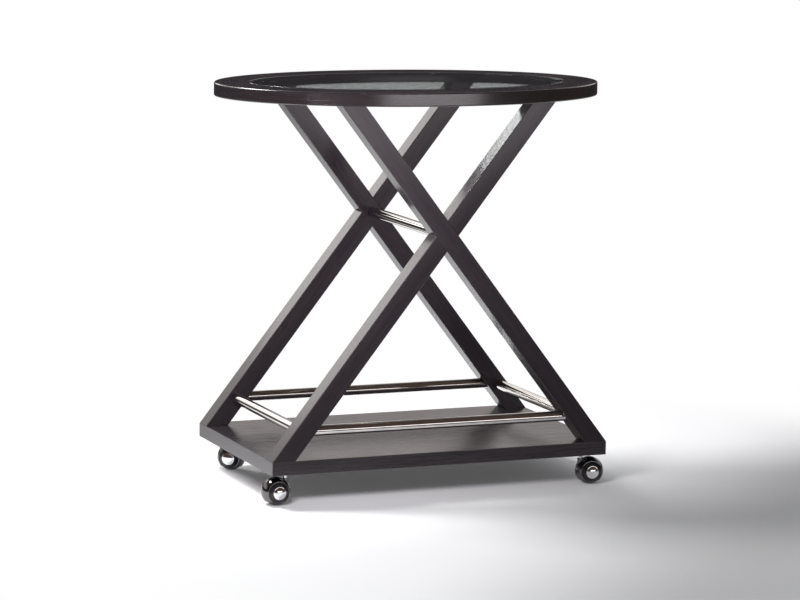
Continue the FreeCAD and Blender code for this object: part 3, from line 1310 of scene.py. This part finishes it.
@dataclass
class BallCasters(Fitting):
    """The four ball casters: socket, stem, hood, two wheels and their hub caps.

    One caster is modelled about its stem, with its axle along Y and its wheels
    trailing towards -X, and a copy of each piece is set at every corner.
    """

    web_thickness: float = 11.0 * MM
    wheel_end_gap: float = 0.3 * MM
    wheel_ease: float = 0.2 * MM
    cap_radius: float = 12.0 * MM
    cap_lip: float = 0.3 * MM
    spigot_radius: float = 9.0 * MM
    spigot_wall: float = 1.8 * MM
    spigot_length: float = 4.0 * MM
    spigot_fit: float = 0.05 * MM
    pocket_depth: float = 7.0 * MM
    axle_bore: float = 3.05 * MM
    tread_end: float = 18.6 * MM
    groove: float = 0.45 * MM
    hood_clearance: float = 0.7 * MM
    hood_wall: float = 1.0 * MM
    hood_half_width: float = 17.4 * MM
    hood_lip: float = 0.3 * MM
    floor_gap: float = 8.0 * MM
    collar_radius: float = 6.5 * MM
    collar_ease: float = 0.8 * MM
    stem_bore: float = 4.05 * MM
    stem_depth: float = 15.0 * MM
    stem_chamfer: float = 1.0 * MM
    stem_groove: float = 0.35 * MM
    stem_neck: float = 3.2 * MM
    sleeve_radius: float = 5.5 * MM
    sleeve_roof: float = 1.7 * MM
    flange_ease: float = 0.5 * MM
    room_overlap: float = 0.1 * MM
    # In degrees: how far the cap's dome starts past its lip, and the sharpest
    # edge of the wheel that is shaded smooth.
    cap_roll: float = 2.0
    wheel_smoothing: float = 24.0
    # How wide the groove is, as a share of its depth.
    groove_run: float = 1.5

    def build(self) -> None:
        """Model one caster and set a copy at every corner."""
        self.measure()
        patterns = {
            "wheel": self.model_wheel(),
            "cap": self.model_cap(),
            "hood": self.model_hood(),
            "stem": self.model_stem(),
            "socket": self.model_socket(),
        }
        for corner in CORNERS:
            self.set_caster(f"caster_{corner}", patterns)
        for pattern in patterns.values():
            self.bench.scrap(pattern)

    def measure(self) -> None:
        """Read the sizes that the frame gives, from the front left caster."""
        self.joints = {joint["name"]: joint for joint in FRAME["joints"]}
        middle = Vector(self.joints["caster_fl_roll_1"]["pos_m"])
        stem = Vector(self.joints["caster_fl_turn"]["pos_m"])
        self.seat_z = stem.z
        trail = math.hypot(middle.x - stem.x, middle.y - stem.y)
        self.middle = Vector((-trail, 0.0, middle.z))
        wheel_low, wheel_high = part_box("caster_fl_wheel_1")
        self.wheel_radius = (wheel_high.z - wheel_low.z) / 2
        self.stem_low, self.stem_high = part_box("caster_fl_stem")
        self.socket_low, self.socket_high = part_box("caster_fl_socket")
        self.wheel_inner = self.web_thickness / 2 + self.wheel_end_gap
        self.ball_radius = math.hypot(self.wheel_radius, self.wheel_inner)
        self.cap_seat = math.sqrt(self.ball_radius ** 2 - self.cap_radius ** 2)

    def set_caster(self, title: str, patterns: dict[str, Object]) -> None:
        """Set a copy of each piece at one corner.

        Args:
            title: The start of the caster's names.
            patterns: The wheel and the cap, turned about Z, and the hood, the
                stem and the socket, each in the caster's own place.
        """
        stem_place = Vector(self.joints[f"{title}_turn"]["pos_m"])
        axle_way = Vector(self.joints[f"{title}_roll_1"]["axis"])
        turn = Matrix((axle_way.cross(UP), axle_way, UP)).transposed().to_4x4()
        corner = Matrix.Translation((stem_place.x, stem_place.y, 0.0)) @ turn
        chrome = "caster_chrome"
        for number, side in ((1, -1), (2, 1)):
            facing = corner @ self.on_axle(side)
            for kind, name, slot, titles in (
                ("wheel", "ball_wheel", "black_wheel", ["black_tread", "black_hub"]),
                ("cap", "hub_cap", chrome, [chrome]),
            ):
                piece = self.bench.copy(patterns[kind], f"{title}_{name}_{number}", facing)
                self.finish(piece, f"{title}_roller_{number}", f"{title}_{kind}_{number}", slot, titles)
        # The hood wears the darkened chrome, whose tint holds painted shade.
        for kind, name, body, titles in (
            ("hood", "ball_hood", f"{title}_swivel", ["hood_chrome_painted_dark"]),
            ("stem", "swivel_stem", f"{title}_swivel", [chrome]),
            ("socket", "stem_socket", "table", [chrome]),
        ):
            piece = self.bench.copy(patterns[kind], f"{title}_{name}", corner)
            self.finish(piece, body, f"{title}_{kind}", chrome, titles)

    def on_axle(self, side: int) -> Matrix:
        """Return the turn that faces Z outwards along the axle on one side."""
        facing = Vector((0.0, side, 0.0)).to_track_quat("Z", "Y").to_matrix().to_4x4()
        return Matrix.Translation(self.middle) @ facing

    @staticmethod
    def rise(radius: float, along: float) -> float:
        """Return the angle in degrees at which a ball's outline reaches a place on its axis."""
        return math.degrees(math.asin(along / radius))

    def model_wheel(self) -> Object:
        """Model one wheel: rubber tread, moulded hub face, pocket and bore.

        Returns:
            The wheel.
        """
        ball = self.ball_radius
        split = math.degrees(self.groove / ball)
        tread_angle = self.rise(ball, self.tread_end)
        first = self.rise(ball, self.wheel_inner + self.wheel_ease)
        seat_angle = self.rise(ball, self.cap_seat)
        outline = [(self.axle_bore, self.wheel_inner)]
        outline += [(self.wheel_radius - self.wheel_ease, self.wheel_inner)]
        outline += arc(ORIGIN, ball, first, tread_angle, steps=12)
        outline += arc(ORIGIN, ball - self.groove, tread_angle + split / 2, tread_angle + split, steps=1)
        outline += arc(ORIGIN, ball, tread_angle + self.groove_run * split, seat_angle, steps=8)
        lip = self.spigot_radius + self.spigot_fit
        floor = self.cap_seat - self.pocket_depth
        outline += [(lip, self.cap_seat), (lip, floor), (self.axle_bore, floor)]
        wheel = self.bench.lathe("wheel_pattern", outline, closed=True, steps=128)
        self.bench.smooth(wheel, self.wheel_smoothing)
        for face in wheel.data.polygons:
            face.material_index = 1 if face.center.z > self.tread_end else 0
        return wheel

    def model_cap(self) -> Object:
        """Model one domed hub cap with its rolled lip and spigot.

        Returns:
            The cap.
        """
        seat, lip = self.cap_seat, self.cap_lip
        inner = self.spigot_radius - self.spigot_wall
        outline = [(0.0, seat), (inner, seat), (inner, seat - self.spigot_length)]
        outline += [(self.spigot_radius, seat - self.spigot_length), (self.spigot_radius, seat)]
        outline += [(self.cap_radius - lip, seat), (self.cap_radius, seat + lip)]
        first = self.rise(self.ball_radius, seat) + self.cap_roll
        outline += arc(ORIGIN, self.ball_radius, first, 90.0, steps=16)[:-1]
        outline += [(0.0, self.ball_radius)]
        cap = self.bench.lathe("cap_pattern", outline, closed=False, steps=96)
        self.bench.smooth(cap)
        return cap

    def shell_outline(self) -> list[Point]:
        """Draw the section of the hood's round shell, with rolled mouths.

        Returns:
            Radius and height of each point.
        """
        inside = self.ball_radius + self.hood_clearance
        outside = inside + self.hood_wall
        mouth = self.hood_half_width
        outer = self.rise(outside, mouth - self.hood_lip)
        inner = self.rise(inside, mouth)
        rolled = (inside + outside) / 2 * math.cos(math.radians(self.rise(outside, mouth)))
        outline = arc(ORIGIN, outside, -outer, outer, steps=40) + [(rolled, mouth)]
        outline += arc(ORIGIN, inside, inner, -inner, steps=32) + [(rolled, -mouth)]
        return outline

    def model_hood(self) -> Object:
        """Model the plated hood: shell, web between the wheels, stem collar.

        Returns:
            The hood.
        """
        inside = self.ball_radius + self.hood_clearance
        in_wall = inside + self.hood_wall / 2
        sawn = UP * self.floor_gap
        hood = self.bench.lathe("hood_pattern", self.shell_outline(), closed=True, steps=160)
        self.bench.place(hood, self.on_axle(1))
        self.bench.trim(hood, sawn, -UP)
        top = self.stem_low.z + self.stem_depth
        collar = self.model_collar(top)
        room = self.bench.ball("wheel_room", self.middle, inside + self.room_overlap)
        self.bench.combine(collar, room, Combine.CUT)
        self.bench.combine(hood, collar, Combine.JOIN)
        half = self.web_thickness / 2
        angle = self.rise(in_wall, half)
        outline = [(0.0, -half)] + arc(ORIGIN, in_wall, -angle, angle, steps=10) + [(0.0, half)]
        web = self.bench.lathe("web", outline, closed=False, steps=160)
        self.bench.place(web, self.on_axle(1))
        self.bench.trim(web, sawn, -UP)
        self.bench.combine(hood, web, Combine.JOIN)
        past = Vector((0.0, self.web_thickness, 0.0))
        bore = self.bench.rod("axle_tool", self.middle - past, self.middle + past, self.axle_bore, sides=48)
        self.bench.combine(hood, bore, Combine.CUT)
        foot, head = UP * self.stem_low.z, UP * (top + self.web_thickness)
        bore = self.bench.rod("stem_tool", foot, head, self.stem_bore, sides=64)
        self.bench.combine(hood, bore, Combine.CUT)
        self.bench.smooth(hood)
        return hood

    def model_collar(self, top: float) -> Object:
        """Add the collar round the stem, before the wheels' room is cut.

        Args:
            top: The height of its top.

        Returns:
            The collar.
        """
        radius, ease = self.collar_radius, self.collar_ease
        outline = [(0.0, self.middle.z), (radius, self.middle.z), (radius, top - ease)]
        outline += arc((radius - ease, top - ease), ease, 0.0, 90.0, steps=4)[1:]
        outline += [(0.0, top)]
        return self.bench.lathe("collar", outline, closed=False, steps=96)

    def model_stem(self) -> Object:
        """Model the stem with its chamfered tip and snap groove.

        Returns:
            The stem.
        """
        low, high = self.stem_low, self.stem_high
        radius = (high.x - low.x) / 2
        chamfer, groove = self.stem_chamfer, self.stem_groove
        neck = self.seat_z - self.stem_neck
        outline = [(0.0, low.z), (radius - groove, low.z), (radius, low.z + groove), (radius, neck)]
        outline += [(radius - groove, neck + groove), (radius - groove, neck + 2 * groove)]
        outline += [(radius, neck + 3 * groove)]
        outline += [(radius, high.z - chamfer), (radius - chamfer, high.z), (0.0, high.z)]
        stem = self.bench.lathe("stem_pattern", outline, closed=False, steps=64)
        self.bench.smooth(stem)
        return stem

    def model_socket(self) -> Object:
        """Model the socket with its flange under the shelf.

        Returns:
            The socket.
        """
        low, high = self.socket_low, self.socket_high
        flange, ease = (high.x - low.x) / 2, self.flange_ease
        bore = self.stem_bore
        outline = [(bore, low.z), (flange - ease, low.z), (flange, low.z + ease), (flange, self.seat_z)]
        outline += [(self.sleeve_radius, self.seat_z), (self.sleeve_radius, high.z), (0.0, high.z)]
        outline += [(0.0, high.z - self.sleeve_roof), (bore, high.z - self.sleeve_roof)]
        socket = self.bench.lathe("socket_pattern", outline, closed=True, steps=96)
        self.bench.smooth(socket)
        return socket


@dataclass
class HiddenHardware:
    """The frame's own fasteners, which keep their shapes."""

    palette: Palette
    steel: tuple[str, ...] = (
        "head_studs",
        "foot_screws",
        "stretcher_plugs",
        "stretcher_studs",
        "side_rail_plugs",
        "side_rail_studs",
    )

    def dress(self) -> None:
        """Give each piece its finish."""
        self.palette.dress(FRAME["nodes"]["glass_pads"], "clear_pad")
        axles = [f"caster_{corner}_{part}" for corner in CORNERS for part in ("axle", "clips")]
        for node in (*self.steel, *axles):
            self.palette.dress(FRAME["nodes"][node], "zinc_plate")
            LOG.info("%s: dressed in place", node)


# --------------------------------------------------------------------- studio

@dataclass(frozen=True)
class Softbox:
    """A soft rectangular lamp, with its spread in degrees."""

    title: str
    place: Place
    aim: Place
    size: tuple[float, float]
    watts: float
    tint: Colour = WHITE
    mirrored: bool = True
    spread: float = 180.0

    def hang(self) -> None:
        """Add the lamp."""
        lamp = bpy.data.lights.new(self.title, "AREA")
        lamp.shape = "RECTANGLE"
        lamp.size, lamp.size_y = self.size
        lamp.energy = self.watts
        lamp.color = self.tint
        lamp.spread = math.radians(self.spread)
        holder = bpy.data.objects.new(self.title, lamp)
        place = Vector(self.place)
        turn = (Vector(self.aim) - place).to_track_quat("-Z", "Y").to_matrix().to_4x4()
        holder.matrix_world = Matrix.Translation(place) @ turn
        holder.visible_camera = False
        holder.visible_glossy = self.mirrored
        bpy.context.scene.collection.objects.link(holder)


@dataclass
class StudioFloor:
    """A pale floor that keeps the table's shadow, with painted shade greying it towards the front right.

    Away from the table it shows plain white to the camera, to metal and to
    glass, without lighting anything. Seen from below it is clear.
    """

    bench: Workbench
    size: float = 10.0
    drop: float = 0.2 * MM
    roughness: float = 0.8
    specular: float = 0.1
    shade: float = 0.88
    blue: float = 1.01
    bounce: float = 0.30
    lift: float = 0.06
    mirrored_shade: float = 0.06
    # Painted shade: the floor's colour greys along this way, standing in for light that falls off towards the
    # front right.
    painted_shade_way: Place = (0.70, -0.71, 0.0)
    painted_shade_from: float = 0.32
    painted_shade_to: float = 0.85
    painted_shade_grey: float = 0.48
    sheet_middle: Place = (0.25, -0.35, 0.0)
    sheet_from: float = 0.70
    sheet_to: float = 1.20
    mirrored_far: Span = (1.7, 3.0, 1.0, 0.14)
    front_from: float = -0.62
    front_to: float = -0.36
    mirrored_front: float = 0.08

    def lay(self) -> None:
        """Lay the floor."""
        self.bench.start()
        bpy.ops.mesh.primitive_plane_add(size=self.size, location=(0.0, 0.0, -self.drop))
        floor = self.bench.name("studio_floor")
        self.bench.settle()
        floor.data.materials.append(self.build())

    def build(self) -> Material:
        """Build the floor's material.

        Returns:
            The material.
        """
        graph = Graph("studio_floor")
        graph.set(Roughness=self.roughness, Specular_IOR_Level=self.specular)
        place = graph.node("TexCoord").outputs["Object"]
        seen = graph.seen_by("Camera", "Glossy", "Transmission")
        mirrored = graph.seen_by("Glossy")
        graph.colour(graph.mix(seen, (self.bounce,) * 3, self.colour(graph, place, mirrored)))
        matt = graph.node("AddShader")
        graph.link(graph.shader.outputs["BSDF"], matt.inputs[0])
        lift = graph.span(seen, 0.0, 1.0, 0.0, self.lift)
        graph.link(graph.glow("Emission", WHITE, lift), matt.inputs[1])
        away = graph.against("DISTANCE", place, self.sheet_middle)
        white = graph.span(away, self.sheet_from, self.sheet_to, eased=True)
        sheet = graph.glow("Emission", WHITE, self.sheet(graph, place, away, mirrored))
        above = graph.blend(graph.maths("MULTIPLY", seen, white), matt.outputs["Shader"], sheet)
        below = graph.node("NewGeometry").outputs["Backfacing"]
        clear = graph.node("BsdfTransparent").outputs["BSDF"]
        surface = graph.blend(graph.maths("MULTIPLY", below, graph.seen_by("Camera")), above, clear)
        graph.link(surface, graph.output.inputs["Surface"])
        return graph.material

    def colour(self, graph: Graph, place: NodeSocket, mirrored: NodeSocket) -> NodeSocket:
        """Paint shade on the floor towards the front right, and mirror it dark in front.

        Args:
            graph: The floor's graph.
            place: The coordinates.
            mirrored: 1 for rays that come from what mirrors the floor.

        Returns:
            The colour's socket.
        """
        pale, grey = ((shade, shade, shade * self.blue) for shade in (self.shade, self.painted_shade_grey))
        # Painted shade that greys the floor towards the front right, seen by the camera and by shiny
        # surfaces.
        fall = graph.against("DOT_PRODUCT", place, self.painted_shade_way)
        tone = graph.mix(graph.span(fall, self.painted_shade_from, self.painted_shade_to, eased=True), pale, grey)
        front = graph.span(graph.part(place, "Y"), self.front_from, self.front_to, 1.0, 0.0)
        return graph.mix(graph.maths("MULTIPLY", mirrored, front), tone, (self.mirrored_shade,) * 3)

    def sheet(self, graph: Graph, place: NodeSocket, away: NodeSocket, mirrored: NodeSocket) -> NodeSocket:
        """Work out how bright the white part is, dimmer far off and in front where it is mirrored.

        Args:
            graph: The floor's graph.
            place: The coordinates.
            away: The distance from the middle of the part that isn't white.
            mirrored: 1 for rays that come from what mirrors the floor.

        Returns:
            The brightness's socket.
        """
        far = graph.span(away, *self.mirrored_far)
        front = graph.span(graph.part(place, "Y"), self.front_from, self.front_to, self.mirrored_front, 1.0)
        loss = graph.maths("SUBTRACT", graph.maths("MINIMUM", far, front), 1.0)
        return graph.maths("ADD", graph.maths("MULTIPLY", mirrored, loss), 1.0)


@dataclass
class Room:
    """Soft light all round, and white behind the table.

    What shines sees a dim room with a bright sheet hung behind the table, above
    the height at which the table top would mirror it. The camera sees white,
    also where it looks down through glass.
    """

    fill_colour: Colour = (0.95, 0.96, 1.0)
    fill_strength: float = 0.25
    glass_horizon: float = 0.02
    front: Colour = (0.070, 0.047, 0.038)
    back_from: float = 0.05
    back_to: float = 0.45
    back: tuple[tuple[float, Colour], ...] = (
        (0.0, (0.030, 0.027, 0.030)),
        (0.150, (0.030, 0.027, 0.030)),
        (0.190, (1.0, 0.925, 0.88)),
        (0.46, (1.0, 0.97, 0.945)),
        (0.60, (0.16, 0.14, 0.13)),
        (1.0, (0.10, 0.085, 0.075)),
    )

    def light(self) -> None:
        """Set up the world."""
        world = bpy.data.worlds.new("studio")
        bpy.context.scene.world = world
        world.use_nodes = True
        graph = Nodes(world.node_tree)
        way = graph.node("TexCoord").outputs["Generated"]
        down = graph.maths("LESS_THAN", graph.part(way, "Z"), self.glass_horizon)
        through = graph.maths("MULTIPLY", down, graph.seen_by("Transmission"))
        open_view = graph.maths("MAXIMUM", through, graph.seen_by("Camera"))
        fill = graph.glow("Background", self.fill_colour, self.fill_strength)
        room = graph.glow("Background", self.colour(graph, way), 1.0)
        white = graph.glow("Background", WHITE, 1.0)
        indoors = graph.blend(graph.seen_by("Glossy", "Transmission"), fill, room)
        surface = graph.blend(open_view, indoors, white)
        graph.link(surface, graph.node("OutputWorld").inputs["Surface"])

    def colour(self, graph: Nodes, way: NodeSocket) -> NodeSocket:
        """Work out what shiny surfaces see of the room.

        Args:
            graph: The world's nodes.
            way: The direction that is looked in.

        Returns:
            The colour's socket.
        """
        height = graph.node("ValToRGB")
        steps = height.color_ramp.elements
        (_, lowest), *middle, (_, highest) = self.back
        steps[0].color, steps[1].color = (*lowest, 1.0), (*highest, 1.0)
        for place, colour in middle:
            steps.new(place).color = (*colour, 1.0)
        graph.link(graph.part(way, "Z"), height.inputs["Fac"])
        behind = graph.span(graph.part(way, "Y"), self.back_from, self.back_to, eased=True)
        return graph.mix(behind, self.front, height.outputs["Color"])


@dataclass
class Photographer:
    """The camera, where the photograph was taken from, with its angles in degrees."""

    place: Place = (-2.4747, -5.7744, 1.3167)
    heading: float = 23.131
    tilt: float = 8.814
    roll: float = 1.150
    lens: float = 149.76
    sensor: float = 36.0
    far_clip: float = 60.0

    def stand(self) -> None:
        """Put up the camera."""
        heading, tilt, roll = (math.radians(angle) for angle in (self.heading, self.tilt, self.roll))
        reach = math.cos(tilt)
        forward = Vector((math.sin(heading) * reach, math.cos(heading) * reach, -math.sin(tilt)))
        level = Vector((math.cos(heading), -math.sin(heading), 0.0))
        above = level.cross(forward)
        right = math.cos(roll) * level + math.sin(roll) * above
        upward = -math.sin(roll) * level + math.cos(roll) * above
        turn = Matrix((right, upward, -forward)).transposed().to_4x4()
        lens = bpy.data.cameras.new("photographer")
        lens.lens = self.lens
        lens.sensor_width = self.sensor
        lens.clip_end = self.far_clip
        camera = bpy.data.objects.new("photographer", lens)
        camera.matrix_world = Matrix.Translation(Vector(self.place)) @ turn
        bpy.context.scene.collection.objects.link(camera)
        bpy.context.scene.camera = camera


@dataclass
class Studio:
    """Floor, room light, lamps and camera."""

    bench: Workbench
    lamps: tuple[Softbox, ...] = (
        Softbox("key_overhead_left", (-1.25, 0.85, 2.5), (0.0, 0.0, 0.2), size=(0.8, 0.8), watts=74.0),
        Softbox("back_sheet", (-0.85, 2.9, 1.87), (-0.85, 0.0, 1.87), size=(2.6, 1.2), watts=70.0,
                mirrored=False),
        Softbox("edge_sheet", (-0.72, 2.9, 1.56), (-0.72, 0.0, 1.56), size=(1.0, 0.88), watts=5.0,
                tint=(1.0, 0.97, 0.96)),
        Softbox("front_strip", (1.18, -5.05, 0.45), (1.18, 0.0, 0.45), size=(3.75, 0.80), watts=22.0,
                tint=(1.0, 0.96, 1.0)),
        Softbox("front_fill", (-0.80, -0.92, 0.74), (-0.15, 0.0, 0.52), size=(0.35, 0.35), watts=5.3,
                tint=(1.0, 0.97, 1.0), mirrored=False, spread=74.0),
    )

    def build(self) -> None:
        """Set up the studio."""
        StudioFloor(self.bench).lay()
        Room().light()
        for lamp in self.lamps:
            lamp.hang()
        Photographer().stand()
        bpy.context.scene.view_settings.view_transform = "Standard"


# ----------------------------------------------------------------------- main


def main() -> None:
    """Build the table, then the studio."""
    logging.basicConfig(level=logging.INFO, format="%(name)s: %(message)s")
    FRAME.update(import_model())
    bench = Workbench()
    palette = Palette(CrossedFrames.lean_of(CrossedFrames.bar_width))
    palette.mix()
    OvalTop(bench, palette).build()
    CrossedFrames(bench, palette).build()
    Shelf(bench, palette).build()
    TubeWork(bench, palette).build()
    BallCasters(bench, palette).build()
    HiddenHardware(palette).dress()
    Studio(bench).build()


if __name__ == "__main__":
    main()
